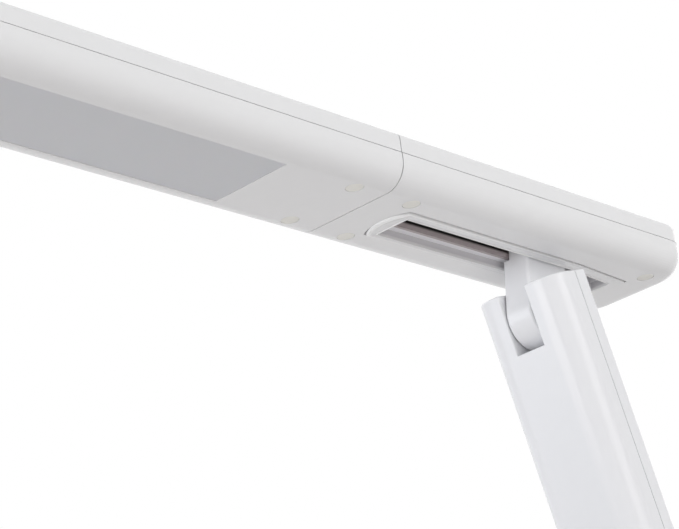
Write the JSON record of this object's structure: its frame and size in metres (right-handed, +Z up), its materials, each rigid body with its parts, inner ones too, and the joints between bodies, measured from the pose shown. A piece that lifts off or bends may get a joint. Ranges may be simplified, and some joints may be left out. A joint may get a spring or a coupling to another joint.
{
  "type": "desk lamp",
  "caption": "Folding LED desk lamp with a twisting light bar on a sliding head, a tilting flat arm and a swivelling weighted base.",
  "frame": {"origin": "on the foot pad's resting face, under the swivel axis", "axes": "+Z up, -Y towards the tip of the light bar, +X to the lamp's left as seen from its tip"},
  "size_m": [0.15, 0.4143, 0.3914],
  "materials": {
    "white_shell": "smooth white moulding with a soft gloss",
    "white_hinge": "smooth white moulding with a soft gloss",
    "tray_plastic": "fine matt moulding",
    "pad_rubber": "matt silicone sheet",
    "steel_plate": "cold rolled plate",
    "screw_steel": "nickel plated",
    "spring_steel": "spring strip",
    "aluminium_sheet": "mill finish",
    "plug_plastic": "fine matt moulding, slightly warm",
    "bush_acetal": "natural acetal",
    "washer_plastic": "filled nylon",
    "rail_plastic": "grey glass filled nylon",
    "board": "solder mask over glass fibre",
    "jack_plastic": "black moulding",
    "panel_gloss": "polished inlay",
    "mark_print": "grey print",
    "diffuser_opal": "opal sheet, unlit",
    "guide_acrylic": "clear acrylic with a dot pattern",
    "sheet_white": "white polyester film",
    "strip_white": "white solder mask",
    "chip_yellow": "phosphor resin",
    "lead_sheath": "soft vinyl sheath"
  },
  "bodies": {
    "base": {"base_cover": "white_shell", "base_tray": "tray_plastic", "weight_plate": "steel_plate", "base_pad": "pad_rubber", "base_screws": "screw_steel", "weight_screws": "screw_steel", "control_board": "board", "touch_panel": "panel_gloss", "dimmer_marks": "mark_print", "dc_jack": "jack_plastic", "swivel_bush": "bush_acetal"},
    "button": {"power_button": "white_shell"},
    "swivel": {"hinge_post": "white_hinge", "swivel_washer": "spring_steel", "swivel_nut": "steel_plate"},
    "arm": {"arm_front_shell": "white_shell", "arm_back_shell": "white_shell", "lower_bracket": "steel_plate", "upper_bracket": "steel_plate", "lower_hinge_pin": "screw_steel", "upper_hinge_pin": "screw_steel", "lower_friction_washers": "washer_plastic", "upper_friction_washers": "washer_plastic", "hinge_nuts": "screw_steel", "bracket_screws": "screw_steel", "arm_screws": "screw_steel", "arm_plugs": "plug_plastic", "arm_lead": "lead_sheath"},
    "neck": {"neck": "white_hinge", "slide_carriage": "rail_plastic", "carriage_screws": "screw_steel", "slide_springs": "spring_steel"},
    "tail": {"tail_bottom_cover": "white_shell", "tail_top_cover": "white_shell", "slot_bezel": "white_shell", "slide_rail": "rail_plastic", "driver_board": "board", "tail_screws": "screw_steel", "tail_plugs": "plug_plastic", "twist_bush": "bush_acetal"},
    "light_bar": {"bar_bottom_cover": "white_shell", "bar_top_cover": "white_shell", "diffuser": "diffuser_opal", "light_guide": "guide_acrylic", "reflector_sheet": "sheet_white", "led_strips": "strip_white", "led_chips": "chip_yellow", "heat_spreader": "aluminium_sheet", "bar_screws": "screw_steel", "bar_plugs": "plug_plastic", "twist_shaft": "steel_plate", "twist_nut": "screw_steel"}
  },
  "joints": [
    {"name": "base_swivel", "type": "hinge", "parent": "base", "child": "swivel", "pos_m": [0, 0, 0.018], "axis": [0, 0, 1], "range_deg": [-180, 180]},
    {"name": "arm_tilt", "type": "hinge", "parent": "swivel", "child": "arm", "pos_m": [0, 0, 0.036], "axis": [1, 0, 0], "range_deg": [-105.43, 15]},
    {"name": "head_tilt", "type": "hinge", "parent": "arm", "child": "neck", "pos_m": [0, -0.0878, 0.35411], "axis": [1, 0, 0], "range_deg": [-35, 105.43]},
    {"name": "head_slide", "type": "slide", "parent": "neck", "child": "tail", "axis": [0, 1, 0], "range_m": [0, 0.06]},
    {"name": "bar_twist", "type": "hinge", "parent": "tail", "child": "light_bar", "pos_m": [0, -0.1793, 0.38241], "axis": [0, 1, 0], "range_deg": [-30, 30]},
    {"name": "power_button", "type": "slide", "parent": "base", "child": "button", "axis": [0, 0, -1], "range_m": [0, 0.0008], "stiffness_N_per_m": 900, "springref_m": -0.0006}
  ]
}
